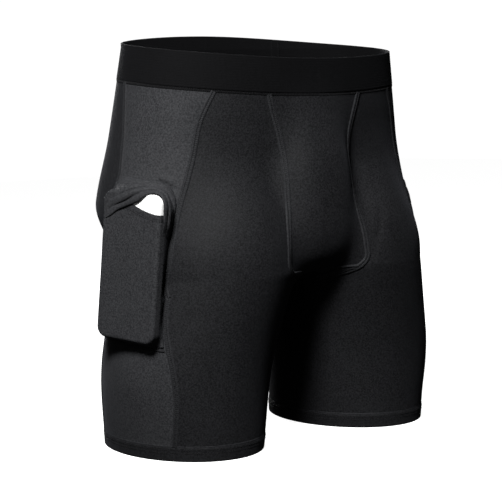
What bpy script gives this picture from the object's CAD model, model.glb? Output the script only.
import math

import bmesh
import bpy
import numpy as np
from mathutils import Matrix, Vector


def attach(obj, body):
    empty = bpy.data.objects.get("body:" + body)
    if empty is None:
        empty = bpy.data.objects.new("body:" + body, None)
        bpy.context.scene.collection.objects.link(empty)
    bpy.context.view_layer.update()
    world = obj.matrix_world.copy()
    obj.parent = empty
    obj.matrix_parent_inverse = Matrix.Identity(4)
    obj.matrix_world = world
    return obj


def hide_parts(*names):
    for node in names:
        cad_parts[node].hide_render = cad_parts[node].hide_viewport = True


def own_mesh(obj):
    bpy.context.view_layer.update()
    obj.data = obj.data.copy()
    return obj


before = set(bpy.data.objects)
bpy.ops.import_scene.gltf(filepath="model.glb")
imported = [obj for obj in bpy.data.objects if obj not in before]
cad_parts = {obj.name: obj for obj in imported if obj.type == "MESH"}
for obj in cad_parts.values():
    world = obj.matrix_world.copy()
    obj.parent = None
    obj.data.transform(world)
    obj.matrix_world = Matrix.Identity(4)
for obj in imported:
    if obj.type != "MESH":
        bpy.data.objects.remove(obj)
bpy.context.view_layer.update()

# Everything below is worked out in millimetres in the design's own frame,
# and moved by SHIFT and scaled to metres when a mesh is made.
SHIFT = np.array([8.65, -5.3, 0.0])
MM = 0.001
WELD = 0.02

# ------------------------------------------------------------------
# Body form
# ------------------------------------------------------------------
HEIGHT = 420.0
CROTCH = 183.0
BAND = 37.0
BAND_LEVEL = HEIGHT - BAND
STRAIGHT = 300.0


def knots(points):
    """Smooth curve through (position, value) pairs, as a function of an array."""
    x = np.array([p[0] for p in points], float)
    y = np.array([p[1] for p in points], float)
    slope = np.diff(y) / np.diff(x)
    tangent = np.concatenate([[slope[0]], (slope[1:] + slope[:-1]) / 2, [slope[-1]]])

    def curve(at):
        v = np.clip(np.asarray(at, float), x[0], x[-1])
        i = np.clip(np.searchsorted(x, v) - 1, 0, len(x) - 2)
        h = x[i + 1] - x[i]
        t = (v - x[i]) / h
        a = (2 * t**3 - 3 * t**2 + 1) * y[i] + (t**3 - 2 * t**2 + t) * h * tangent[i]
        return a + (3 * t**2 - 2 * t**3) * y[i + 1] + (t**3 - t**2) * h * tangent[i + 1]

    return curve


TORSO_LEVELS = (CROTCH, CROTCH + 60, CROTCH + 145, HEIGHT)
LEG_LEVELS = (0, CROTCH / 2, CROTCH)
PROFILES = {
    "width": (TORSO_LEVELS, (190, 194, 173.5, 158)),
    "front": (TORSO_LEVELS, (86, 70, 93, 100)),
    "back": (TORSO_LEVELS, (93, 116, 111, 96)),
    "shift": ((CROTCH, CROTCH + 140, HEIGHT), (0, 0, -2)),
    "leg_x": (LEG_LEVELS, (114, 111, 86)),
    "leg_y": (LEG_LEVELS, (2, -7.5, -15)),
    "leg_wide": (LEG_LEVELS, (74.5, 86, 85)),
    "leg_deep": (LEG_LEVELS, (101, 97, 104)),
}
table_z = np.linspace(-5, 450, 1821)
tables = {name: knots(list(zip(*pair)))(table_z) for name, pair in PROFILES.items()}


def soft_min(a, b, blend):
    h = np.maximum(blend - np.abs(a - b), 0) / blend
    return np.minimum(a, b) - h * h * blend / 4


SEAT = {"x": 72, "y": 60, "z": 256, "wide": 69, "tall": 80}
POUCH = {"y": -73, "z": 236, "wide": 47, "deep": 45.5, "below": 56, "above": 114, "squareness": 2.6}
TORSO_SQUARENESS = 2.4


def inside(x, y, z):
    """Negative inside the body, about zero on its skin."""
    z = np.asarray(z, float)
    v = {name: np.interp(z, table_z, table) for name, table in tables.items()}
    side = np.abs(x)
    y0 = y - v["shift"]
    depth = np.where(y0 < 0, v["front"], v["back"])
    n = TORSO_SQUARENESS
    around = ((side / v["width"]) ** n + (np.abs(y0) / depth) ** n) ** (1 / n)
    cap = np.maximum(0, (CROTCH + 78 - z) / 84)
    torso = (np.hypot(around, cap) - 1) * np.minimum(v["width"], depth)
    out = 1 + 0.13 * np.exp(-(((z - 190) / 55) ** 2))
    wide = np.where(side > v["leg_x"], v["leg_wide"] * out, v["leg_wide"])
    cap = np.maximum(0, (z - CROTCH - 10) / 120)
    leg = np.sqrt(((side - v["leg_x"]) / wide) ** 2 + ((y - v["leg_y"]) / v["leg_deep"]) ** 2 + cap**2)
    leg = (leg - 1) * np.minimum(wide, v["leg_deep"])
    s = SEAT
    seat_x, seat_y = (side - s["x"]) / s["wide"], (y - s["y"]) / s["wide"]
    seat = np.sqrt(seat_x**2 + seat_y**2 + ((z - s["z"]) / s["tall"]) ** 2)
    b, q = POUCH, POUCH["squareness"]
    tall = np.where(z > b["z"], b["above"], b["below"])
    bulge = (side / b["wide"]) ** q + (np.abs(y - b["y"]) / b["deep"]) ** q
    bulge = (bulge + (np.abs(z - b["z"]) / tall) ** q) ** (1 / q)
    body = soft_min(soft_min(torso, leg, 35), (seat - 1) * s["wide"], 24)
    return soft_min(body, (bulge - 1) * b["deep"], 22)


def gradient(p):
    """Direction and rate in which inside() grows."""
    e = 0.6
    x, y, z = p[..., 0], p[..., 1], p[..., 2]
    gx = inside(x + e, y, z) - inside(x - e, y, z)
    gy = inside(x, y + e, z) - inside(x, y - e, z)
    gz = inside(x, y, z + e) - inside(x, y, z - e)
    return np.stack([np.where(np.abs(x) < 0.05, 0, gx), gy, gz], -1) / (2 * e)


def unit(v):
    return v / np.maximum(np.linalg.norm(v, axis=-1, keepdims=True), 1e-9)


def outward(p):
    return unit(gradient(p))


def run_along(points):
    """Length from the first point to each point of a line."""
    return np.concatenate([[0], np.cumsum(np.linalg.norm(np.diff(points, axis=0), axis=-1))])


def sampled(at, run, values):
    """Points of a line at given lengths along it."""
    return np.stack([np.interp(at, run, values[:, k]) for k in range(3)], -1)


def welded(points, tolerance):
    """First of each set of coinciding points, and which of those every point is."""
    cells = np.round(points / tolerance).astype(np.int64)
    _, first, where = np.unique(cells, axis=0, return_index=True, return_inverse=True)
    return first, where.reshape(-1)


def find_saddle():
    low, high = 100.0, 260.0
    ys = np.linspace(-60, 60, 241)
    for _ in range(30):
        level = (low + high) / 2
        if (inside(0 * ys, ys, 0 * ys + level) < 0).any():
            high = level
        else:
            low = level
    return high, ys[np.argmin(inside(0 * ys, ys, 0 * ys + high))]


SADDLE_Z, SADDLE_Y = find_saddle()
centre_x = knots([(0, 114), (CROTCH / 2, 111), (CROTCH, 86), (HEIGHT, 70)])
centre_y = knots([(0, 2), (CROTCH / 2, -7.5), (CROTCH, -15), (HEIGHT, -13)])
RING = 240


def outline(z):
    """Right half of the body at one height: front middle, outer side, back middle."""
    cx, cy = float(centre_x(z)), float(centre_y(z))
    ends = np.array([SADDLE_Y, SADDLE_Y])
    if z > SADDLE_Z:
        a, b = ends.copy(), np.array([-200.0, 200.0])
        for _ in range(34):
            m = (a + b) / 2
            is_in = inside(0.0, m, z) < 0
            a, b = np.where(is_in, m, a), np.where(is_in, b, m)
        ends = a
    start = math.atan2(cy - ends[0], cx)
    end = 2 * math.pi - math.atan2(ends[1] - cy, cx)
    turn = np.linspace(start, end, 361)
    dx, dy = np.cos(turn), -np.sin(turn)
    reach = np.where(dx > 1e-6, np.minimum(260, cx / np.maximum(dx, 1e-6)), 260.0)
    tries = reach * np.linspace(0.03, 1, 36)[:, None]
    out = inside(-cx + tries * dx, cy + tries * dy, z) > 0
    first = np.maximum(np.where(out.any(0), out.argmax(0), 35), 1)
    index = np.arange(len(turn))
    high, low = tries[first, index], tries[first - 1, index]
    for _ in range(24):
        m = (low + high) / 2
        is_out = inside(-cx + m * dx, cy + m * dy, z) > 0
        high, low = np.where(is_out, m, high), np.where(is_out, low, m)
    r = np.where(out.any(0), high, reach)
    x, y = -cx + r * dx, cy + r * dy
    along = np.concatenate([[0], np.cumsum(np.hypot(np.diff(x), np.diff(y)))])
    side = np.interp(math.pi, turn, along)
    half = RING // 2 + 1
    want = np.concatenate([np.linspace(0, side, half), np.linspace(side, along[-1], half)[1:]])
    return np.interp(want, along, x), np.interp(want, along, y), 2 * side, 2 * (along[-1] - side)


below = SADDLE_Z * (1 - np.linspace(1, 0, 60) ** 1.6)
above = SADDLE_Z + (450 - SADDLE_Z) * np.linspace(0, 1, 90)[1:] ** 1.8
ring_z = np.concatenate([below[:-1], [SADDLE_Z - 0.02, SADDLE_Z + 0.02], above])
rings = [outline(z) for z in ring_z]
ring_x = np.array([r[0] for r in rings])
ring_y = np.array([r[1] for r in rings])
ring_front = np.array([r[2] for r in rings])
ring_back = np.array([r[3] for r in rings])


def skin(side, u, z):
    """Points on the body. u is 0 at the front middle and 1 at the back middle."""
    u, z = np.broadcast_arrays(np.asarray(u, float), np.asarray(z, float))
    i = np.clip(np.searchsorted(ring_z, z) - 1, 0, len(ring_z) - 2)
    t = np.clip((z - ring_z[i]) / (ring_z[i + 1] - ring_z[i]), 0, 1)
    q = np.clip(u, 0, 1) * RING
    j = np.clip(q.astype(int), 0, RING - 1)
    w = q - j

    def blended(a):
        low = a[i, j] * (1 - w) + a[i, j + 1] * w
        high = a[i + 1, j] * (1 - w) + a[i + 1, j + 1] * w
        return low * (1 - t) + high * t

    x = blended(ring_x)
    p = np.stack([x if side < 0 else -x, blended(ring_y), z], -1)
    for _ in range(2):
        g = gradient(p)
        flat = np.stack([g[..., 0], g[..., 1]], -1)
        size = np.maximum((flat**2).sum(-1), 0.05)
        step = np.clip(inside(p[..., 0], p[..., 1], p[..., 2]) / size, -1, 1)
        p[..., :2] -= flat * step[..., None]
    return p


def waist_top(u):
    c = np.cos(np.pi * u / 2) ** 2
    return HEIGHT - 18 * c + 15 * (1 - c) - np.sin(np.pi * u) ** 2


def height_of(u, level):
    bottom = waist_top(u) - BAND
    t = (level - STRAIGHT) / (BAND_LEVEL - STRAIGHT)
    slanted = np.where(level >= BAND_LEVEL, bottom + level - BAND_LEVEL, STRAIGHT + (bottom - STRAIGHT) * t)
    return np.where(level <= STRAIGHT, level, slanted)


def shift(u, level, millimetres):
    z = height_of(u, level)
    girth = np.where(np.asarray(u) < 0.5, np.interp(z, ring_z, ring_front), np.interp(z, ring_z, ring_back))
    return u + millimetres / girth


# Seam lines, as u at each level
front_inner = knots([
    (112, 0), (121, 0.0115), (131, 0.024), (142, 0.038), (155, 0.053), (166, 0.066), (178, 0.09),
    (190, 0.11), (205, 0.11), (225, 0.108), (245, 0.106), (265, 0.109), (284, 0.112), (308, 0.116),
    (333, 0.122), (356, 0.1345), (383, 0.15),
])
back_inner = knots([
    (112, 0), (121, 0.0115), (131, 0.024), (142, 0.037), (155, 0.05), (166, 0.058), (178, 0.052),
    (184, 0.042), (191.75, 0.022), (194.25, 0.009), (202, 0),
])
side_front = knots([
    (0, 0.378), (33, 0.372), (65, 0.37), (93, 0.38), (115, 0.395), (144, 0.412), (164, 0.415),
    (180, 0.408), (197, 0.396), (230, 0.383), (263, 0.367), (303, 0.348), (349, 0.328), (383, 0.296),
])
side_back = knots([
    (0, 0.6), (50, 0.6), (100, 0.605), (140, 0.607), (170, 0.6), (200, 0.588), (230, 0.566),
    (250, 0.546), (273, 0.532), (290, 0.527), (313, 0.535), (349, 0.547), (383, 0.56),
])


def back_line(z):
    return 1 - back_inner(z)


# ------------------------------------------------------------------
# Slab: its size, and its own frame (a to the front, h up, d outward)
# ------------------------------------------------------------------
SLAB_WIDTH, SLAB_HEIGHT, SLAB_THICK = 74.0, 148.0, 9.0
SLAB_CORNER, SLAB_EDGE = 10.0, 2.0
SLAB_CENTRE = np.array([-194.9, -33.9, 198.5])
TURN, TILT, LEAN = math.radians(14), math.radians(3.3), math.radians(-4.5)
flat_out = np.array([-math.cos(TURN), -math.sin(TURN), 0])
flat_across = np.array([math.sin(TURN), -math.cos(TURN), 0])
straight_up = np.array([0, 0, 1.0])
slab_out = flat_out * math.cos(TILT) + straight_up * math.sin(TILT)
slab_rise = straight_up * math.cos(TILT) - flat_out * math.sin(TILT)
slab_across = flat_across * math.cos(LEAN) + slab_rise * math.sin(LEAN)
slab_up = slab_rise * math.cos(LEAN) - flat_across * math.sin(LEAN)


def from_slab(a, h, d):
    a, h, d = np.broadcast_arrays(np.asarray(a, float), h, d)
    return SLAB_CENTRE + a[..., None] * slab_across + h[..., None] * slab_up + d[..., None] * slab_out


def to_slab(p):
    q = p - SLAB_CENTRE
    return q @ slab_across, q @ slab_up, q @ slab_out


def slab_gap(p):
    """Distance outside the slab's rounded block."""
    a, h, d = to_slab(p)
    a = np.abs(a) - (SLAB_WIDTH / 2 - SLAB_CORNER)
    h = np.abs(h) - (SLAB_HEIGHT / 2 - SLAB_CORNER)
    flat = np.hypot(np.maximum(a, 0), np.maximum(h, 0)) + np.minimum(np.maximum(a, h), 0) - SLAB_CORNER
    e, t = flat + SLAB_EDGE, np.abs(d) - (SLAB_THICK / 2 - SLAB_EDGE)
    return np.hypot(np.maximum(e, 0), np.maximum(t, 0)) + np.minimum(np.maximum(e, t), 0) - SLAB_EDGE


def clear_slab(p, least):
    """Moves points off the slab until they are at least a distance away."""
    e = 0.3
    for _ in range(4):
        short = np.maximum(least - slab_gap(p), 0)
        steps = [(slab_gap(p + v * e) - slab_gap(p - v * e))[..., None] * v for v in np.eye(3)]
        p = p + unit(steps[0] + steps[1] + steps[2]) * short[..., None]
    return p


def clear_body(p, least):
    """Moves points off the body until they are at least a distance away."""
    for _ in range(3):
        short = np.maximum(least - inside(p[..., 0], p[..., 1], p[..., 2]), 0)
        p = p + outward(p) * short[..., None]
    return p


# ------------------------------------------------------------------
# Meshes
# ------------------------------------------------------------------
def make_mesh(name, points, faces, uvs, material, sharp=None):
    """faces is an (n, 4) array; uvs holds one pair for each corner of each face."""
    mesh = bpy.data.meshes.new(name)
    mesh.from_pydata(((points + SHIFT) * MM).tolist(), [], faces.tolist())
    layer = mesh.uv_layers.new(name="cloth")
    layer.data.foreach_set("uv", uvs.reshape(-1).astype(np.float32))
    mesh.polygons.foreach_set("use_smooth", np.ones(len(mesh.polygons), bool))
    if sharp is not None:
        marks = mesh.attributes.new("sharp_edge", "BOOLEAN", "EDGE")
        ends = np.zeros(len(mesh.edges) * 2, int)
        mesh.edges.foreach_get("vertices", ends)
        both = sharp[ends.reshape(-1, 2)].all(1)
        marks.data.foreach_set("value", both)
    mesh.materials.append(material)
    obj = bpy.data.objects.new(name, mesh)
    bpy.context.scene.collection.objects.link(obj)
    return obj


def shell(name, grids, top, bottom, material):
    """Cloth of a real thickness. Each grid is (points, normals, uv); matching points are joined.
    top and bottom are offsets along the normals, numbers or arrays like the grid."""
    points, normals, uvs, tops, bottoms, quads, total = [], [], [], [], [], [], 0
    for p, n, uv in grids:
        rows, columns = p.shape[:2]
        index = np.arange(rows * columns).reshape(rows, columns) + total
        quad = np.stack([index[:-1, :-1], index[:-1, 1:], index[1:, 1:], index[1:, :-1]], -1).reshape(-1, 4)
        flat = p.reshape(-1, 3)
        corner = quad - total
        across = np.cross(flat[corner[:, 2]] - flat[corner[:, 0]], flat[corner[:, 3]] - flat[corner[:, 1]])
        if (across * n.reshape(-1, 3)[corner[:, 0]]).sum() < 0:
            quad = quad[:, ::-1]
        points.append(flat)
        normals.append(n.reshape(-1, 3))
        uvs.append(uv.reshape(-1, 2))
        tops.append(np.broadcast_to(top, p.shape[:2]).reshape(-1))
        bottoms.append(np.broadcast_to(bottom, p.shape[:2]).reshape(-1))
        quads.append(quad)
        total += rows * columns
    p, n, uv = np.concatenate(points), np.concatenate(normals), np.concatenate(uvs)
    up, down, quads = np.concatenate(tops), np.concatenate(bottoms), np.concatenate(quads)
    first, where = welded(p, WELD)
    count = len(first)
    outer = p[first] + n[first] * up[first, None]
    inner = p[first] + n[first] * down[first, None]
    faces = where[quads]
    keep = np.array([len(set(f)) == 4 for f in faces.tolist()])
    faces, quads = faces[keep], quads[keep]
    ends = np.stack([faces, np.roll(faces, -1, 1)], -1).reshape(-1, 2)
    corner_ids = np.stack([quads, np.roll(quads, -1, 1)], -1).reshape(-1, 2)
    known = set(map(tuple, ends.tolist()))
    rim = np.array([(b, a) not in known for a, b in ends.tolist()])
    a, b = ends[rim, 0], ends[rim, 1]
    walls = np.stack([b, a, a + count, b + count], -1)
    ua, ub = uv[corner_ids[rim, 0]], uv[corner_ids[rim, 1]]
    all_faces = np.concatenate([faces, (faces + count)[:, ::-1], walls])
    all_uvs = np.concatenate([uv[quads], uv[quads][:, ::-1], np.stack([ub, ua, ua, ub], 1)])
    on_rim = np.zeros(count * 2, bool)
    on_rim[np.concatenate([a, b, a + count, b + count])] = True
    obj = make_mesh(name, np.concatenate([outer, inner]), all_faces, all_uvs, material, on_rim)
    return obj


def patch(side, levels, start, end, columns, wave=None):
    """Grid on the body between two seam lines. uv is in metres of cloth."""
    levels = np.asarray(levels, float)
    t = np.linspace(0, 1, columns + 1)
    u = start(levels)[:, None] * (1 - t) + end(levels)[:, None] * t
    z = height_of(u, levels[:, None])
    p = skin(side, u, z)
    n = outward(p)
    if wave is not None:
        p = p + n * wave(side, u, levels[:, None] + 0 * u)[..., None]
    girth = np.interp(z, ring_z, ring_front)
    uv = np.stack([(u - 0.45) * girth * side, z], -1) * MM
    return p, n, uv


def fixed(u):
    return lambda z: u + 0 * np.asarray(z, float)


def moved(line, millimetres):
    return lambda z: shift(line(z), z, millimetres)


def profile_ring(name, sides, profile, columns, material, ripple=None):
    """Closed band round the waist or a leg. profile is a closed loop of (level, offset)."""
    level = np.array([q[0] for q in profile])
    offset = np.array([q[1] for q in profile])
    t = np.linspace(0, 1, columns + 1)
    halves = []
    for side in sides:
        u = np.broadcast_to(t, (len(level), columns + 1))
        z = height_of(u, level[:, None])
        p = skin(side, u, z)
        n = outward(p)
        n[..., 2] = 0
        n = unit(n)
        lift = offset[:, None] + (0 if ripple is None else ripple(side, u, level[:, None] + 0 * u))
        q = p + n * lift[..., None]
        halves.append(q if side < 0 else q[:, ::-1])
    ring = np.concatenate([half[:, :-1] for half in halves], 1)
    rows, count = ring.shape[:2]
    index = np.arange(rows * count).reshape(rows, count)
    nxt, down = np.roll(index, -1, 1), np.roll(index, -1, 0)
    quads = np.stack([index, nxt, np.roll(down, -1, 1), down], -1).reshape(-1, 4)
    length = np.linalg.norm(np.roll(ring[0], -1, 0) - ring[0], axis=-1)
    along = np.concatenate([[0], np.cumsum(length)])
    run = np.concatenate([[0], np.cumsum(np.hypot(np.diff(level), np.diff(offset)))])
    run = np.append(run, run[-1] + np.hypot(level[0] - level[-1], offset[0] - offset[-1]))
    r, c = np.divmod(np.arange(rows * count), count)
    uv = np.stack([
        np.stack([along[c], run[r]], -1), np.stack([along[c + 1], run[r]], -1),
        np.stack([along[c + 1], run[r + 1]], -1), np.stack([along[c], run[r + 1]], -1)], 1) * MM
    flat = ring.reshape(-1, 3)
    middle = flat.mean(0)
    normal = np.cross(flat[quads[:, 2]] - flat[quads[:, 0]], flat[quads[:, 3]] - flat[quads[:, 1]])
    volume = (normal * (flat[quads].mean(1) - middle)).sum()
    if volume < 0:
        quads, uv = quads[:, ::-1], uv[:, ::-1]
    return make_mesh(name, flat, quads, uv, material)


def strokes(name, starts, ends, normals, radius, arch, material):
    """Short stitches of thread, each a small capsule that bows off the cloth."""
    starts, ends, normals = (np.asarray(v, float) for v in (starts, ends, normals))
    along = unit(ends - starts)
    side = unit(np.cross(along, normals))
    up = np.cross(side, along)
    stops = np.array([0, 0.12, 0.5, 0.88, 1])
    swell = np.array([0.25, 0.85, 1, 0.85, 0.25])
    turns = np.arange(6) * math.pi / 3
    centre = starts[:, None] + (ends - starts)[:, None] * stops[:, None]
    centre = centre + up[:, None] * (arch * np.sin(np.pi * stops))[:, None]
    spoke = side[:, None] * np.cos(turns)[:, None] + up[:, None] * np.sin(turns)[:, None]
    p = centre[:, :, None] + spoke[:, None] * (radius * swell)[:, None, None]
    n = len(starts)
    base = (np.arange(n) * 30)[:, None, None]
    ring = (np.arange(4) * 6)[:, None]
    k = np.arange(6)
    a = base + ring + k
    b = base + ring + (k + 1) % 6
    quads = np.stack([a, b, b + 6, a + 6], -1).reshape(-1, 4)
    uv = np.zeros((len(quads), 4, 2))
    return make_mesh(name, p.reshape(-1, 3), quads, uv, material)


def join(objects, name):
    """Joins meshes that share a body into the first one."""
    chosen = {"selected_editable_objects": objects, "selected_objects": objects}
    with bpy.context.temp_override(active_object=objects[0], **chosen):
        bpy.ops.object.join()
    objects[0].name = name
    objects[0].data.name = name
    return objects[0]


def place(obj, body, nodes):
    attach(obj, body)
    if nodes:
        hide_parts(*nodes)
    return obj


# ------------------------------------------------------------------
# Materials
# ------------------------------------------------------------------
def new_material(name):
    m = bpy.data.materials.new(name)
    m.use_nodes = True
    nodes = m.node_tree.nodes
    shader = next(n for n in nodes if n.type == "BSDF_PRINCIPLED")
    return m, m.node_tree, shader


def math_node(tree, kind, a, b=None, c=None):
    node = tree.nodes.new("ShaderNodeMath")
    node.operation = kind
    for socket, value in zip(node.inputs, (a, b, c)):
        if value is None:
            continue
        if isinstance(value, (int, float)):
            socket.default_value = value
        else:
            tree.links.new(value, socket)
    return node.outputs[0]


def noise(tree, scale, detail):
    """Grain fixed to the object."""
    coordinates = tree.nodes.new("ShaderNodeTexCoord")
    node = tree.nodes.new("ShaderNodeTexNoise")
    node.inputs["Scale"].default_value = scale
    node.inputs["Detail"].default_value = detail
    tree.links.new(coordinates.outputs["Object"], node.inputs["Vector"])
    return node


def colour_ramp(tree, shader, value, dark, light, low=0.0, high=1.0):
    ramp = tree.nodes.new("ShaderNodeValToRGB")
    for element, position, colour in zip(ramp.color_ramp.elements, (low, high), (dark, light)):
        element.position = position
        element.color = (*colour, 1)
    tree.links.new(value, ramp.inputs[0])
    tree.links.new(ramp.outputs[0], shader.inputs["Base Color"])


def bumped(tree, shader, height, strength, distance):
    bump = tree.nodes.new("ShaderNodeBump")
    bump.inputs["Strength"].default_value = strength
    bump.inputs["Distance"].default_value = distance
    tree.links.new(height, bump.inputs["Height"])
    tree.links.new(bump.outputs[0], shader.inputs["Normal"])


def cloth_material(name, dark, light, pitch, rib, roughness, sheen, strength=0.35):
    """Fine warp-knit cloth. pitch is the spacing of the wales in metres, rib how far they stand out."""
    m, tree, shader = new_material(name)
    uv = tree.nodes.new("ShaderNodeUVMap")
    uv.uv_map = "cloth"
    split = tree.nodes.new("ShaderNodeSeparateXYZ")
    tree.links.new(uv.outputs[0], split.inputs[0])
    turn = 2 * math.pi / pitch
    wale = math_node(tree, "SINE", math_node(tree, "MULTIPLY", split.outputs[0], turn))
    stagger = math_node(tree, "MULTIPLY", wale, 0.8)
    course = math_node(tree, "SINE", math_node(tree, "MULTIPLY_ADD", split.outputs[1], turn * 0.8, stagger))
    knit = math_node(tree, "MULTIPLY_ADD", course, 0.45, math_node(tree, "MULTIPLY", wale, rib))
    speck = noise(tree, 620, 3)
    cloud = noise(tree, 34, 5)
    faint = math_node(tree, "MULTIPLY", cloud.outputs[0], 0.14)
    mixed = math_node(tree, "MULTIPLY_ADD", speck.outputs[0], 0.86, faint)
    shaded = math_node(tree, "MULTIPLY_ADD", knit, 0.045, mixed)
    colour_ramp(tree, shader, shaded, dark, light, 0.36, 0.64)
    rough = math_node(tree, "MULTIPLY_ADD", speck.outputs[0], 0.16, roughness - 0.08)
    tree.links.new(rough, shader.inputs["Roughness"])
    height = math_node(tree, "MULTIPLY_ADD", speck.outputs[0], 0.7, knit)
    bumped(tree, shader, height, strength, 0.00012)
    shader.inputs["Sheen Weight"].default_value = sheen
    shader.inputs["Sheen Roughness"].default_value = 0.45
    shader.inputs["Sheen Tint"].default_value = (0.85, 0.88, 1.0, 1)
    shader.inputs["Specular IOR Level"].default_value = 0.08
    return m


def thread_material(name, colour, roughness, sheen):
    """Twisted sewing thread."""
    m, tree, shader = new_material(name)
    place_node = tree.nodes.new("ShaderNodeTexCoord")
    wave = tree.nodes.new("ShaderNodeTexWave")
    wave.wave_type = "BANDS"
    wave.bands_direction = "DIAGONAL"
    wave.inputs["Scale"].default_value = 420
    wave.inputs["Distortion"].default_value = 3
    tree.links.new(place_node.outputs["Object"], wave.inputs["Vector"])
    dark, light = ([share * c for c in colour] for share in (0.55, 1.3))
    colour_ramp(tree, shader, wave.outputs["Fac"], dark, light)
    bumped(tree, shader, wave.outputs["Fac"], 0.5, 0.0001)
    shader.inputs["Roughness"].default_value = roughness
    shader.inputs["Sheen Weight"].default_value = sheen
    shader.inputs["Specular IOR Level"].default_value = 0.12
    return m


# dark and light colour, wale pitch in metres, rib, roughness, sheen
BODY_CLOTH = cloth_material(
    "stretch_knit", (0.0042, 0.0043, 0.0048), (0.0128, 0.013, 0.0142), 0.0009, 0.5, 0.66, 0.02)
SIDE_CLOTH = cloth_material(
    "side_knit", (0.0115, 0.0118, 0.013), (0.0285, 0.029, 0.031), 0.0011, 0.6, 0.68, 0.02)
BAND_CLOTH = cloth_material(
    "band_elastic", (0.001, 0.001, 0.0012), (0.0022, 0.0022, 0.0026), 0.0013, 1.0, 0.85, 0.01, 0.5)
SEAM_CLOTH = cloth_material(
    "seam_cover", (0.009, 0.0092, 0.0102), (0.0185, 0.0189, 0.0205), 0.0007, 0.4, 0.66, 0.02)
THREAD = thread_material("seam_thread", (0.006, 0.0061, 0.0068), 0.6, 0.02)


def slab_material():
    m, tree, shader = new_material("slab_white")
    grain = noise(tree, 1600, 2)
    colour_ramp(tree, shader, grain.outputs[0], (0.84, 0.84, 0.83), (0.93, 0.93, 0.92))
    bumped(tree, shader, grain.outputs[0], 0.12, 0.00005)
    shader.inputs["Roughness"].default_value = 0.42
    return m


SLAB_WHITE = slab_material()

# ------------------------------------------------------------------
# Panels
# ------------------------------------------------------------------
SIDES = ((-1, "right"), (1, "left"))
PANEL_TOP = BAND_LEVEL - 1
PANEL_BOTTOM = 15.5
SPACING = 2.6


def levels_between(low, high):
    """Levels from low to high, closer together round the crotch."""
    count = int((high - low) / SPACING) + 2
    even = np.linspace(low, high, count)
    fine = SADDLE_Z + np.array([0, 0.35, 0.9, 1.8, 3, 4.5, 6.5, 9, 12, 15, 18, 21, 24, 27, 30])
    fine = fine[(fine > low + 0.3) & (fine < high - 0.3)]
    if len(fine):
        even = even[(even < fine[0] - 1) | (even > fine[-1] + 1)]
    return np.unique(np.concatenate([even, fine, [low, high]]))


def bell(v, middle, spread):
    return np.exp(-(((v - middle) / spread) ** 2))


FOLD_ON_PANEL = [(9.0, 84.8), (14.0, 84.4), (18.6, 83.1), (23.0, 81.2), (27.5, 78.3)]


def near_line(a, h, line):
    """Distance from points to a polyline in the slab's plane."""
    best = np.full(a.shape, 1e9)
    for (a0, h0), (a1, h1) in zip(line[:-1], line[1:]):
        run = np.array([a1 - a0, h1 - h0])
        t = np.clip(((a - a0) * run[0] + (h - h0) * run[1]) / (run @ run), 0, 1)
        best = np.minimum(best, np.hypot(a - a0 - t * run[0], h - h0 - t * run[1]))
    return best


def relief(side, u, level):
    """Small folds and the pull of the seams on the cloth."""
    girth = np.interp(level, ring_z, ring_front)
    out = np.zeros_like(u)
    for line, deep in ((side_front, 0.35), (side_back, 0.3), (front_inner, 0.4)):
        gap = (u - line(level)) * girth
        near = bell(gap, 0, 9.0)
        out -= deep * near * bell(level, 260, 190)
        pucker = np.sin(level * 2 * np.pi / 7.5 + 2 * np.sin(level / 31))
        out += 0.10 * bell(gap, 0, 12) * pucker * (level > 205)
    groin = 0.103 + 0.0009 * (level - 205)
    gap = (u - groin - 0.03) * girth
    out -= 1.1 * bell(gap, 0, 5.5) * bell(level, 224, 26)
    hem = np.clip((34 - level) / 16, 0, 1)
    out += 0.28 * hem * np.sin(u * girth / 2.7 + 3 * np.sin(u * 23)) * np.sin(level * 0.9 + 5 * u)
    out += 0.35 * np.sin(u * girth / 21 + side) * np.sin(level / 27 + 1.3) * bell(level, 70, 60)
    if side < 0:
        a, h, _ = to_slab(skin(side, u, height_of(u, level)))
        away = near_line(a, h, FOLD_ON_PANEL)
        ends = np.clip((a - 9) / 5, 0, 1) * np.clip((29 - a) / 5, 0, 1)
        out += (1.1 * bell(away, 4.4, 2.4) - 2.6 * bell(away, 0, 1.7)) * ends
    return out


def add_panel(name, nodes, grids, material):
    obj = shell(name, grids, 0.0, -1.0, material)
    place(obj, "shorts", nodes)
    return obj


for side, word in SIDES:
    levels = levels_between(PANEL_BOTTOM, PANEL_TOP)
    for part, start, end, columns, cloth, slot in (
        ("front_panel", front_inner, side_front, 90, BODY_CLOTH, "stretch_cloth"),
        ("side_panel", side_front, side_back, 60, SIDE_CLOTH, "side_cloth"),
        ("back_panel", side_back, back_line, 100, BODY_CLOTH, "stretch_cloth"),
    ):
        grids = [patch(side, levels, start, end, columns, relief)]
        add_panel(f"{word}_{part}_cloth", [f"{word}_{part}"], grids, cloth)

POUCH_END = 181.0
levels = levels_between(POUCH_END, PANEL_TOP)
grids = [patch(side, levels, fixed(0), front_inner, 34, relief) for side, _ in SIDES]
add_panel("front_pouch_cloth", ["front_pouch"], grids, BODY_CLOTH)

low = levels_between(113.0, SADDLE_Z)
front = levels_between(SADDLE_Z, POUCH_END)
back = levels_between(SADDLE_Z, 201.0)
grids = []
for side, _ in SIDES:
    grids += [patch(side, front, fixed(0), front_inner, 16), patch(side, back, fixed(1), back_line, 16)]
    grids += [patch(side, low, fixed(0), front_inner, 10), patch(side, low, fixed(1), back_line, 10)]
add_panel("gusset_cloth", ["gusset"], grids, BODY_CLOTH)

# ------------------------------------------------------------------
# Seams: a raised cover strip with slanting flatlock threads across it
# ------------------------------------------------------------------
STRIP = np.array([-3.3, -2.7, -2.0, -1.3, -0.6, 0, 0.6, 1.3, 2.0, 2.7, 3.3])
STRIP_LIFT = np.array([-0.15, 0.45, 0.85, 0.9, 0.55, 0.32, 0.55, 0.9, 0.85, 0.45, -0.15])


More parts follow.
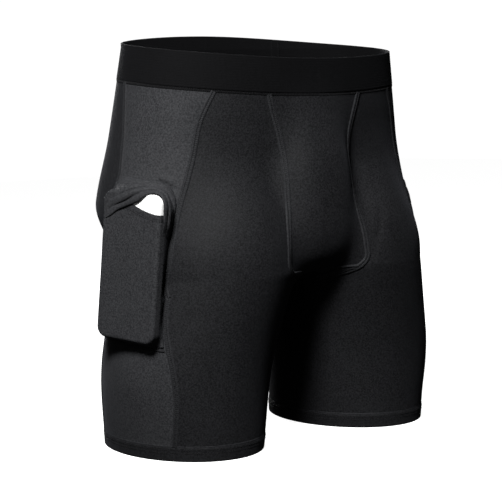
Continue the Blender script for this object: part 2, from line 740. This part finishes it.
def seam_line(side, u, levels):
    """Points, normals and the cross direction along a seam."""
    z = height_of(u, levels)
    p = skin(side, u, z)
    n = outward(p)
    along = unit(np.gradient(p, axis=0))
    return p, n, along, unit(np.cross(n, along))


def strip_cover(p, across, run):
    """The raised strip along a line on the body."""
    q = p[:, None] + across[:, None] * STRIP[None, :, None]
    for _ in range(2):
        value = inside(q[..., 0], q[..., 1], q[..., 2])
        q = q - outward(q) * np.clip(value, -1.2, 1.2)[..., None]
    uv = np.stack(np.broadcast_arrays(STRIP[None, :], run[:, None]), -1) * MM
    return shell("strip", [(q, outward(q), uv)], STRIP_LIFT[None, :], -1.2, SEAM_CLOTH)


def seam_strip(side, line, levels):
    p, n, _, across = seam_line(side, line(levels), levels)
    run = run_along(p)
    cover = strip_cover(p, across, run)
    pitch = 2.0
    count = int(run[-1] / pitch)
    at = np.linspace(pitch / 2, run[-1] - pitch / 2, max(count, 2))
    mid = sampled(at, run, p)
    up = unit(sampled(at, run, n))
    way = unit(sampled(at, run, across))
    fwd = np.cross(up, way)
    starts, ends, ups = [], [], []
    for sign in (-1, 1):
        a = mid + way * 2.5 * sign - fwd * 0.5 + up * 0.5
        b = mid + way * 0.15 * sign + fwd * 0.7 + up * 0.55
        starts.append(a)
        ends.append(b)
        ups.append(up)
    starts, ends, ups = (np.concatenate(v) for v in (starts, ends, ups))
    thread = strokes("strip_threads", starts, ends, ups, 0.2, 0.42, THREAD)
    return [cover, thread]


def add_seam(name, node, parts):
    obj = join([o for part in parts for o in part], name)
    place(obj, "shorts", [node])


seam_levels = levels_between(PANEL_BOTTOM, PANEL_TOP)
for side, word in SIDES:
    add_seam(f"{word}_side_front_flatlock", f"{word}_side_front_seam",
             [seam_strip(side, side_front, seam_levels)])
    add_seam(f"{word}_side_back_flatlock", f"{word}_side_back_seam",
             [seam_strip(side, side_back, seam_levels)])
    add_seam(f"{word}_pouch_flatlock", f"{word}_pouch_seam",
             [seam_strip(side, front_inner, levels_between(POUCH_END, PANEL_TOP))])
    add_seam(f"{word}_inseam_flatlock", f"{word}_inseam",
             [seam_strip(side, fixed(0), levels_between(PANEL_BOTTOM, 112.0))])

ring_parts = []
for side, _ in SIDES:
    ring_parts.append(seam_strip(side, front_inner, levels_between(113.0, POUCH_END)))
    ring_parts.append(seam_strip(side, back_line, levels_between(113.0, 200.0)))


def pouch_foot():
    """The short seam across the foot of the pouch, from one pouch seam to the other."""
    end = float(front_inner(POUCH_END))
    u = np.linspace(0, end, 16)
    right = skin(-1, u, POUCH_END)
    left = skin(1, u, POUCH_END)
    p = np.concatenate([right[::-1], left[1:]])
    n = outward(p)
    along = unit(np.gradient(p, axis=0))
    return [strip_cover(p, unit(np.cross(n, along)), np.arange(len(p)) * 3.0)]


ring_parts.append(pouch_foot())
add_seam("gusset_flatlock", "gusset_seam", ring_parts)
add_seam("center_back_flatlock", "center_back_seam",
         [seam_strip(-1, fixed(1), levels_between(200.0, PANEL_TOP))])

# ------------------------------------------------------------------
# Waistband, its seam and its join
# ------------------------------------------------------------------
def rounded_profile(low, high, back, front, steps):
    """Closed loop of (level, offset) with soft edges, up the outside and down the inside."""
    half = (front - back) / 2
    middle = (front + back) / 2
    turns = np.linspace(0, math.pi, 9)
    top = [(high - half * 0.8 + half * 0.8 * math.sin(a), middle + half * math.cos(a)) for a in turns]
    foot = [(low + half * 0.8 - half * 0.8 * math.sin(a), middle - half * math.cos(a)) for a in turns]
    rise = np.linspace(low + half * 0.8, high - half * 0.8, steps + 1)[1:-1]
    return [(z, front) for z in rise] + top + [(z, back) for z in rise[::-1]] + foot


def band_ripple(side, u, level):
    rib = 0.10 * np.sin(level * 2 * np.pi / 2.6)
    return rib + 0.25 * np.sin(u * 9 + side) * bell(level, 400, 30)


COLUMNS = 260
band_section = rounded_profile(BAND_LEVEL + 0.6, HEIGHT, -1.4, 0.9, 34)
waist = profile_ring("waistband_elastic_band", (-1, 1), band_section, COLUMNS, BAND_CLOTH, band_ripple)
place(waist, "shorts", ["waistband"])


def ring_stitches(name, sides, level, offset, pitch, fill, radius, zig=0.0):
    """Stitches round a band at one level. zig slants each one across the seam."""
    parts = []
    for side in sides:
        u = np.linspace(0, 1, 1400)
        p = skin(side, u, height_of(u, np.full_like(u, level)))
        n = outward(p)
        n[:, 2] = 0
        n = unit(n)
        p = p + n * offset
        run = run_along(p)
        count = int(run[-1] / pitch)
        at = (np.arange(count) + 0.5) * run[-1] / count
        rise = np.array([0, 0, zig])
        starts = sampled(at - pitch * fill / 2, run, p) - rise
        ends = sampled(at + pitch * fill / 2, run, p) + rise
        parts.append(strokes(name, starts, ends, unit(sampled(at, run, n)), radius, 0.3 * radius, THREAD))
    return parts


stitch_pitch = 3.0
cover_section = rounded_profile(BAND_LEVEL - 2.6, BAND_LEVEL + 1.3, -1.4, 0.35, 5)
waist_seam = profile_ring("waist_seam_cover", (-1, 1), cover_section, COLUMNS, BAND_CLOTH)
zigzag = ring_stitches("waist_zigzag", (-1, 1), BAND_LEVEL - 0.7, 0.35, stitch_pitch * 0.6, 0.6, 0.18, 1.3)
add_seam("waist_seam_stitched", "waist_seam", [[waist_seam], zigzag])

JOIN_AT = 0.79
tape_levels = np.linspace(BAND_LEVEL + 4, HEIGHT - 1.6, 14)
grid = patch(1, tape_levels, moved(fixed(JOIN_AT), -5), moved(fixed(JOIN_AT), 5), 8)
tape = shell("waistband_join_tape", [grid], -1.55, -2.15, BAND_CLOTH)
rows = []
for edge in (-4, 4):
    tape_edge = shift(JOIN_AT, 400, edge) + np.zeros(12)
    p, n, along, _ = seam_line(1, tape_edge, np.linspace(BAND_LEVEL + 5, HEIGHT - 3, 12))
    rows.append((p - n * 2.3, along, n))
starts = np.concatenate([p - a * 1.1 for p, a, _ in rows])
ends = np.concatenate([p + a * 1.1 for p, a, _ in rows])
inward = np.concatenate([-n for _, _, n in rows])
tape_threads = strokes("tape_threads", starts, ends, inward, 0.22, 0.1, THREAD)
place(join([tape, tape_threads], "waistband_join_tape"), "shorts", ["waistband_join"])

# ------------------------------------------------------------------
# Leg hems with a double row of stitches
# ------------------------------------------------------------------
HEM_HIGH = 14.6


def hem_ripple(side, u, level):
    return 0.16 * np.sin(u * 230 + 3 * np.sin(u * 17)) * np.clip(level / 14, 0, 1)


for side, word in SIDES:
    hem = profile_ring(f"{word}_hem_fold", (side,), rounded_profile(0.0, HEM_HIGH, -1.5, 0.5, 12),
                       COLUMNS, BODY_CLOTH, hem_ripple)
    place(hem, "shorts", [f"{word}_hem"])
    threads = ring_stitches("t", (side,), 12.4, 0.62, stitch_pitch, 0.72, 0.26)
    threads += ring_stitches("t", (side,), 9.2, 0.62, stitch_pitch, 0.72, 0.26)
    groove = profile_ring("groove", (side,), rounded_profile(13.9, 16.6, -1.4, 0.25, 4), COLUMNS, SEAM_CLOTH)
    add_seam(f"{word}_hem_coverstitch", f"{word}_hem_stitch", [[groove], threads])


# ------------------------------------------------------------------
# Slab
# ------------------------------------------------------------------
def build_slab():
    half = SLAB_THICK / 2
    arc = np.linspace(0, math.pi / 2, 6)
    edge = [(-half + SLAB_EDGE * (1 - math.cos(t)), SLAB_EDGE * (1 - math.sin(t))) for t in arc]
    layers = [(-half, SLAB_WIDTH / 2), (-half, 12.0)][::-1] + [(d, i) for d, i in edge]
    layers += [(-d, i) for d, i in edge[::-1]] + [(half, 12.0), (half, SLAB_WIDTH / 2)]
    turns = np.concatenate([np.linspace(q, q + math.pi / 2, 13) for q in np.arange(4) * math.pi / 2])
    signs = np.repeat([(1, 1), (-1, 1), (-1, -1), (1, -1)], 13, axis=0)
    loops = []
    for d, inset in layers:
        wide = max(SLAB_WIDTH / 2 - max(inset, SLAB_CORNER), 0.0)
        high = max(SLAB_HEIGHT / 2 - max(inset, SLAB_CORNER), 0.0)
        r = max(SLAB_CORNER - inset, 0.0)
        a = signs[:, 0] * wide + r * np.cos(turns)
        h = signs[:, 1] * high + r * np.sin(turns)
        loops.append(from_slab(a, h, d))
    p = np.array(loops)
    rows, columns = p.shape[:2]
    flat = p.reshape(-1, 3)
    index = np.arange(rows * columns).reshape(rows, columns)
    nxt = np.roll(index, -1, 1)
    quads = np.stack([index[:-1], nxt[:-1], nxt[1:], index[1:]], -1).reshape(-1, 4)
    first, where = welded(flat, WELD / 2)
    faces = []
    for quad in where[quads].tolist():
        kept = [v for k, v in enumerate(quad) if v != quad[k - 1]]
        if len(set(kept)) > 2:
            faces.append(kept)
    mesh = bpy.data.meshes.new("pocket_slab_body")
    mesh.from_pydata(((flat[first] + SHIFT) * MM).tolist(), [], faces)
    mesh.polygons.foreach_set("use_smooth", np.ones(len(faces), bool))
    mesh.materials.append(SLAB_WHITE)
    work = bmesh.new()
    work.from_mesh(mesh)
    bmesh.ops.recalc_face_normals(work, faces=work.faces)
    work.to_mesh(mesh)
    work.free()
    obj = bpy.data.objects.new("pocket_slab_body", mesh)
    bpy.context.scene.collection.objects.link(obj)
    return obj


place(build_slab(), "slab", ["pocket_slab"])

# ------------------------------------------------------------------
# Right pocket, stretched over the slab
# ------------------------------------------------------------------
POCKET_CLEAR = 0.5
PANEL_CLEAR = 0.75
SIDE_GAP = 4.6
mouth = knots([
    (-38, 66), (-18, 65.5), (-3, 63.2), (3, 61.6), (10, 59.2), (17, 57.2), (26, 55.4), (32, 54.6), (38, 54.8),
])
MOUTH_HEM = 6.0


def seam_foot(line, z, inset, lift):
    """Where the pocket's cloth meets the side panel beside a seam."""
    z = np.asarray(z, float)
    p = skin(-1, shift(line(z), z, inset), z)
    return p + outward(p) * lift


def relaxed(p, rounds, slab_clear):
    """Pulls a grid tight like stretched cloth, keeping its border and staying off slab and body."""
    for k in range(rounds):
        q = p.copy()
        q[1:-1, 1:-1] = 0.2 * (p[:-2, 1:-1] + p[2:, 1:-1]) + 0.3 * (p[1:-1, :-2] + p[1:-1, 2:])
        p = clear_slab(q, slab_clear)
        if k % 4 == 3 or k == rounds - 1:
            p = clear_body(p, PANEL_CLEAR)
    return p


def spread(points, count):
    """The same polyline with evenly spaced points."""
    run = run_along(points)
    return sampled(np.linspace(0, run[-1], count), run, points)


def pocket_grid(rows, columns):
    half, deep = SLAB_WIDTH / 2 + POCKET_CLEAR, SLAB_THICK / 2 + POCKET_CLEAR
    foot = -(SLAB_HEIGHT / 2 + POCKET_CLEAR)
    t = np.concatenate([np.linspace(0, 0.09, rows // 5)[:-1], np.linspace(0.09, 1, rows - rows // 5 + 1)])
    lines = []
    for v in t:
        stops = np.linspace(-1, 1, 13) * half
        h = foot + (mouth(np.clip(stops, -38, 38)) - foot) * v
        radius = SLAB_CORNER + POCKET_CLEAR
        up = np.clip(h - foot, 0, radius)
        reach = half - (radius - np.sqrt(radius**2 - (radius - up) ** 2))
        face = from_slab(stops / half * reach, h, deep)
        rear = seam_foot(side_back, from_slab(-half, h[0], 0)[2], -SIDE_GAP, PANEL_CLEAR)
        front = seam_foot(side_front, from_slab(half, h[-1], 0)[2], SIDE_GAP, PANEL_CLEAR)
        corner = from_slab(reach[-1], h[-1], -deep)
        lines.append(spread(np.array([rear, *face, corner, front]), columns))
    h = foot - 3.6
    under = from_slab(np.linspace(-1, 1, 13) * (half - 4), h, 0)
    under = np.array([drop(q) for q in under])
    rear = seam_foot(side_back, from_slab(-half, h, 0)[2], -SIDE_GAP, PANEL_CLEAR)
    front = seam_foot(side_front, from_slab(half, h, 0)[2], SIDE_GAP, PANEL_CLEAR)
    first = spread(np.array([rear, *under, front]), columns)
    return np.array([first] + [first + (lines[0] - first) * k / 4 for k in (1, 2, 3)] + lines)


def drop(q, lift=PANEL_CLEAR):
    """Moves a point against the slab's outward direction onto the body."""
    reach = np.linspace(14, -50, 400)
    line = q + reach[:, None] * slab_out
    value = inside(line[:, 0], line[:, 1], line[:, 2]) - lift
    k = max(int(np.argmax(value < 0)), 1)
    t = reach[k - 1] + (reach[k] - reach[k - 1]) * value[k - 1] / (value[k - 1] - value[k])
    return q + t * slab_out


def grid_normals(p):
    n = unit(np.cross(np.gradient(p, axis=1), np.gradient(p, axis=0)))
    flip = (n * outward(p)).sum() < 0
    return -n if flip else n


def cloth_uv(p):
    """Lengths across and up a grid, in metres."""
    steps = [np.linalg.norm(np.diff(p, axis=k), axis=-1) for k in (0, 1)]
    across = np.concatenate([np.zeros((len(p), 1)), np.cumsum(steps[1], 1)], 1)
    rise = np.concatenate([np.zeros((1, p.shape[1])), np.cumsum(steps[0], 0)])
    return np.stack([across, rise], -1) * MM


rows, columns = ((100, 130))
wrap = relaxed(pocket_grid(rows, columns), 26, POCKET_CLEAR)
a, h, _ = to_slab(wrap)
from_mouth = mouth(np.clip(a, -38, 38)) - h
hem_lift = 0.35 * np.clip((MOUTH_HEM - from_mouth) / 0.8, 0, 1)
hem_lift -= 0.22 * bell(from_mouth, 5.4, 0.5) * (np.abs(a) < 40)
tension = 0.16 * np.sin((a * 0.35 + h * 0.75) / 2.1) * bell(h, 44, 13) * bell(a, 37, 9)
normals = grid_normals(wrap)
outer = 1.0 + hem_lift + tension
pocket = shell("right_pocket_cloth", [(wrap, normals, cloth_uv(wrap))], outer, 0.0, SIDE_CLOTH)


def hem_threads(grid, normal, depth, pitch):
    """Stitches along the mouth at a depth below the edge."""
    starts, ends = [], []
    line, up = [], []
    for k in range(4, grid.shape[1] - 4):
        gap = from_mouth[:, k]
        order = np.argsort(gap)
        line.append([np.interp(depth, gap[order], (grid + normal * 1.15)[order, k, i]) for i in range(3)])
        up.append([np.interp(depth, gap[order], normal[order, k, i]) for i in range(3)])
    line, up = np.array(line), unit(np.array(up))
    run = run_along(line)
    at = np.arange(pitch, run[-1] - pitch, pitch)
    for where, out in ((at - pitch * 0.33, starts), (at + pitch * 0.33, ends)):
        out.append(sampled(where, run, line))
    ups = unit(sampled(at, run, up))
    return strokes("mouth_threads", starts[0], ends[0], ups, 0.2, 0.08, THREAD)


mouth_pitch = 2.6
threads = [hem_threads(wrap, normals, depth, mouth_pitch) for depth in (4.3, 6.3)]
pocket = join([pocket, *threads], "right_pocket_cloth")
place(pocket, "shorts", ["right_pocket_front", "right_pocket_hem"])

# ------------------------------------------------------------------
# Hood of folded cloth over the top of the slab
# ------------------------------------------------------------------
# Each line runs from the rear seam over the slab and down its front edge, as (a, h, d).
FREE_EDGE = [
    (-41.5, 41, -9.8), (-38.8, 42.8, 0), (-34, 45.6, 6.3), (-26.6, 49, 7.2), (-17.2, 55.1, 7.4),
    (-7.4, 58.9, 7.4), (1.7, 62.4, 7.3), (9.5, 66.2, 7), (15.5, 70.6, 6.4), (20.5, 74, 5.4),
    (28, 75.4, 3.6), (34.2, 74, 3), (38, 70.2, 3), (39.6, 64, 3), (39.9, 56, 2.6), (40.2, 46, 1.6),
    (38.6, 35, 0.6),
]
FIRST_VALLEY = [
    (-41.2, 49, -9.6), (-38.8, 50, -0.5), (-34.5, 52.8, 5.6), (-26.5, 57, 6.6), (-17, 61.2, 6.8),
    (-8, 64.6, 6.8), (0.5, 69.2, 6.2), (7.5, 72.9, 5.2), (13.5, 75.4, 3.2), (19.5, 76.7, 0.4),
    (26.5, 76.6, -1.5), (32.2, 75, -2.8), (36.4, 71, -3.2), (38.6, 64, -3.5), (39, 55, -3.8),
    (39.4, 45, -4.2), (38.3, 34, -4.6),
]
SECOND_VALLEY = [
    (-40.6, 59, -9.2), (-38.7, 60.5, -1.5), (-34, 63, 4.4), (-26, 66.6, 5.8), (-17.4, 70, 6),
    (-10, 73, 5), (-3, 75.7, 3), (3.5, 77.7, 0), (9.3, 78.5, -2.8), (15, 78.7, -5), (20, 77.9, -7),
    (25, 75.6, -8.4), (30, 72, -9), (33.4, 65, -9.6), (36, 55.5, -10.4), (37.6, 44.5, -11),
    (36.6, 33, -11.2),
]
THIRD_VALLEY = [
    (-37, 77, -9.8), (-33, 78.4, -7), (-28, 79.6, -4.5), (-22.5, 80.4, -3), (-16.5, 80.7, -2.2),
    (-10.5, 80.6, -3), (-4.5, 80.5, -4.4), (2, 80.6, -6.4), (8.3, 80.7, -8.8), (13.4, 80.5, -11),
    (18, 79.6, -13.2), (22.2, 76.9, -15.2), (26, 72.3, -16.6), (29.6, 66, -17.4), (32.4, 57.5, -17.4),
    (34.2, 47.5, -16.6), (34.2, 36, -16),
]
SOFT_FOOT = [
    (-35, 87), (-30.5, 87.6), (-25.5, 88), (-20, 88), (-14, 87.6), (-8, 87), (-2.5, 86.6), (3.5, 86.3),
    (9, 85.9), (14, 85.2), (19, 83.6), (23.5, 80.8), (27.2, 76), (30.2, 69), (32, 59.5), (33, 48.5),
    (33.6, 37),
]


def through(points, count):
    """Smooth curve through points given in the slab's own frame, evenly sampled by index."""
    points = np.array(points, float)
    key = np.arange(len(points))
    at = np.linspace(0, len(points) - 1, count)
    return np.stack([knots(list(zip(key, points[:, k])))(at) for k in range(points.shape[1])], -1)


def hood_grid(along, across):
    foot = np.array([drop(from_slab(a, h, 0.0), 0.25) for a, h in through(SOFT_FOOT, along)])
    lines = [through(line, along) for line in (FREE_EDGE, FIRST_VALLEY, SECOND_VALLEY, THIRD_VALLEY)]
    lines = [from_slab(q[:, 0], q[:, 1], q[:, 2]) for q in lines] + [foot]
    stack = np.array(lines)
    fit = np.linspace(0, 4, across)
    key = np.arange(5)
    grid = np.empty((across, along, 3))
    for k in range(along):
        for i in range(3):
            grid[:, k, i] = knots(list(zip(key, stack[:, k, i])))(fit)
    return grid, fit


along, across = ((170, 81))
hood, fit = hood_grid(along, across)
s = np.linspace(0, 1, along)[None, :]
v = fit[:, None]
between = v - np.floor(v)
puff = np.sin(np.pi * between) ** 0.42
strength = np.array([2.0, 4.0, 4.2, 2.8, 0])[np.minimum(np.floor(v), 4).astype(int)]
fade_rear = np.clip((s - 0.13) / 0.22, 0, 1) ** 1.2
fade_front = np.clip((0.985 - s) / 0.13, 0, 1)
hood_normals = grid_normals(hood)
hood = hood + hood_normals * (puff * strength * fade_rear * fade_front)[..., None]


def cover_slab(p, proud):
    """Lifts points that lie within the slab's outline to the outer side of it."""
    a, h, d = to_slab(p)
    side_gap = np.abs(a) - (SLAB_WIDTH / 2 - SLAB_CORNER)
    end_gap = np.abs(h) - (SLAB_HEIGHT / 2 - SLAB_CORNER)
    edge = np.hypot(np.maximum(side_gap, 0), np.maximum(end_gap, 0)) - SLAB_CORNER
    edge = edge + np.minimum(np.maximum(side_gap, end_gap), 0)
    need = SLAB_THICK / 2 + proud - 0.45 * np.clip(edge + 2, 0, 2) ** 2
    lift = np.where((edge < 0) & (d > -4.4), np.maximum(need - d, 0), 0)
    return p + lift[..., None] * slab_out


hood = cover_slab(hood, 1.6)
for _ in range(3):
    hood[1:-1, 1:-1] = 0.5 * hood[1:-1, 1:-1] + 0.25 * (hood[1:-1, :-2] + hood[1:-1, 2:])
hood = clear_slab(hood, 1.45)
hood = np.where((v < 3.4)[..., None], clear_body(hood, 1.3), hood)
hood_normals = grid_normals(hood)
slim = np.clip((4 - v) / 0.5, 0, 1) + 0 * s
lip = shell("right_pocket_hood", [(hood, hood_normals, cloth_uv(hood))], 0.0, -0.25 - 0.75 * slim, SIDE_CLOTH)
place(lip, "shorts", ["right_pocket_lip"])
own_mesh(lip)


def across_pocket(side, low, high, steps, rise):
    """A strip of cloth laid on the side panel between its two seams."""
    t = np.linspace(0, 1, steps[1] + 1)[None, :]
    r = np.linspace(0, 1, steps[0] + 1)[:, None]
    z = low(t) + (high(t) - low(t)) * r
    u0 = shift(side_front(z), z, SIDE_GAP)
    u1 = shift(side_back(z), z, -SIDE_GAP)
    u = u0 + (u1 - u0) * t
    p = skin(side, u, z)
    n = outward(p)
    return p + n * rise, n, cloth_uv(p)


slab_foot = from_slab(0, -(SLAB_HEIGHT / 2 + 5.4), 0)[2]
under = slab_across[2]


def binding_edge(drop_below):
    return lambda t: slab_foot - drop_below + under * (38 - 98 * t)


grid = across_pocket(-1, binding_edge(3.2), binding_edge(0.5), (3, 60), 0.4)
binding = shell("right_pocket_foot", [grid], 0.95, 0.2, SEAM_CLOTH)
place(binding, "shorts", ["right_pocket_seam"])

# ------------------------------------------------------------------
# Left pocket, flat and empty
# ------------------------------------------------------------------
def left_mouth(t):
    return 247 + 15 * np.sqrt(t)


grid = across_pocket(1, lambda t: 121 + 0 * t, left_mouth, (70, 60), 0.8)
p = grid[0]
drop_from_mouth = left_mouth(np.linspace(0, 1, 61))[None, :] - p[..., 2]
t = np.linspace(0, 1, 61)[None, :]
slack = 0.9 * bell(drop_from_mouth, 0, 26) * np.sin(np.pi * t) + 0.25 * np.sin(t * 19 + drop_from_mouth / 9)
hem = 0.35 * np.clip((MOUTH_HEM - drop_from_mouth) / 0.8, 0, 1)
p = p + grid[1] * slack[..., None] * np.clip(drop_from_mouth[..., None] / 3 + 0.6, 0, 1)
left_cloth = shell("left_pocket_cloth", [(p, grid[1], grid[2])], 1.0 + hem, 0.0, SIDE_CLOTH)
from_mouth = drop_from_mouth + 0 * t
threads = [hem_threads(p, grid[1], depth, mouth_pitch) for depth in (4.3, 6.3)]
left_cloth = join([left_cloth, *threads], "left_pocket_cloth")
place(left_cloth, "shorts", ["left_pocket_front", "left_pocket_hem"])
grid = across_pocket(1, lambda t: left_mouth(t) + 0.4, lambda t: left_mouth(t) + 9, (10, 60), 0.3)
facing = shell("left_pocket_facing", [grid], 1.0, 0.0, SIDE_CLOTH)
place(facing, "shorts", ["left_pocket_lip"])
grid = across_pocket(1, lambda t: 117.8 + 0 * t, lambda t: 120.6 + 0 * t, (3, 60), 0.4)
binding = shell("left_pocket_foot", [grid], 0.95, 0.2, SEAM_CLOTH)
place(binding, "shorts", ["left_pocket_seam"])

# ------------------------------------------------------------------
# Floor, light and camera
# ------------------------------------------------------------------
def floor():
    size = 6.0
    mesh = bpy.data.meshes.new("floor")
    corners = [(-size, -size, 0), (size, -size, 0), (size, size, 0), (-size, size, 0)]
    mesh.from_pydata(corners, [], [(0, 1, 2, 3)])
    m, tree, shader = new_material("floor_white")
    cloud = noise(tree, 0.4, 2)
    colour_ramp(tree, shader, cloud.outputs[0], (0.6, 0.6, 0.6), (0.64, 0.64, 0.64))
    shader.inputs["Roughness"].default_value = 0.9
    shader.inputs["Specular IOR Level"].default_value = 0.0
    shader.inputs["Emission Color"].default_value = (1, 1, 1, 1)
    shader.inputs["Emission Strength"].default_value = 0.97
    mesh.materials.append(m)
    obj = bpy.data.objects.new("floor", mesh)
    obj.visible_diffuse = False
    obj.visible_glossy = False
    bpy.context.scene.collection.objects.link(obj)


floor()


def soft_light(name, where, aim, size, power):
    lamp = bpy.data.lights.new(name, "AREA")
    lamp.shape = "SQUARE"
    lamp.size = size
    lamp.energy = power
    obj = bpy.data.objects.new(name, lamp)
    bpy.context.scene.collection.objects.link(obj)
    obj.location = where
    direction = Vector(aim) - Vector(where)
    obj.rotation_euler = direction.to_track_quat("-Z", "Y").to_euler()


soft_light("key", (-0.97, -0.77, 1.36), (0, 0, 0.24), 0.36, 62)
soft_light("fill", (-1.7, -1.3, 0.6), (0, 0, 0.25), 0.7, 1.5)
soft_light("back", (0.7, 1.9, 1.1), (0, 0, 0.25), 0.8, 34)


def white_room(background, ambient):
    """A white backdrop with little light of its own, so that the lamps shape the cloth."""
    world = bpy.data.worlds.new("white_room")
    bpy.context.scene.world = world
    world.use_nodes = True
    tree = world.node_tree
    shader = next(n for n in tree.nodes if n.type == "BACKGROUND")
    shader.inputs[0].default_value = (1, 1, 1, 1)
    path = tree.nodes.new("ShaderNodeLightPath")
    seen = math_node(tree, "MULTIPLY_ADD", path.outputs["Is Camera Ray"], background - ambient, ambient)
    tree.links.new(seen, shader.inputs[1])


white_room(1.05, 0.02)
bpy.context.scene.view_settings.view_transform = "Standard"


def turned_by(angle, first, second):
    """Two square directions, turned in their own plane."""
    c, s = math.cos(angle), math.sin(angle)
    return first * c + second * s, second * c - first * s


def make_camera():
    """A long lens off the wearer's front right, at about four fifths of the shorts' height."""
    azimuth, distance, height = math.radians(-38.49), 1.6394, 0.3508
    yaw, pitch, roll = math.radians(-0.45), math.radians(-5.38), math.radians(-1.69)
    forward = np.array([-math.sin(azimuth), math.cos(azimuth), 0])
    right = np.array([math.cos(azimuth), math.sin(azimuth), 0])
    up = np.array([0, 0, 1.0])
    forward, right = turned_by(yaw, forward, right)
    forward, up = turned_by(pitch, forward, up)
    right, up = turned_by(roll, right, up)
    lens = bpy.data.cameras.new("camera")
    lens.sensor_width = 36
    lens.lens = 107.54
    obj = bpy.data.objects.new("camera", lens)
    bpy.context.scene.collection.objects.link(obj)
    spot = np.array([math.sin(azimuth) * distance, -math.cos(azimuth) * distance, height]) + SHIFT * MM
    turned = np.eye(4)
    turned[:3, 0], turned[:3, 1], turned[:3, 2], turned[:3, 3] = right, up, -forward, spot
    obj.matrix_world = Matrix(turned.tolist())
    bpy.context.scene.camera = obj


make_camera()
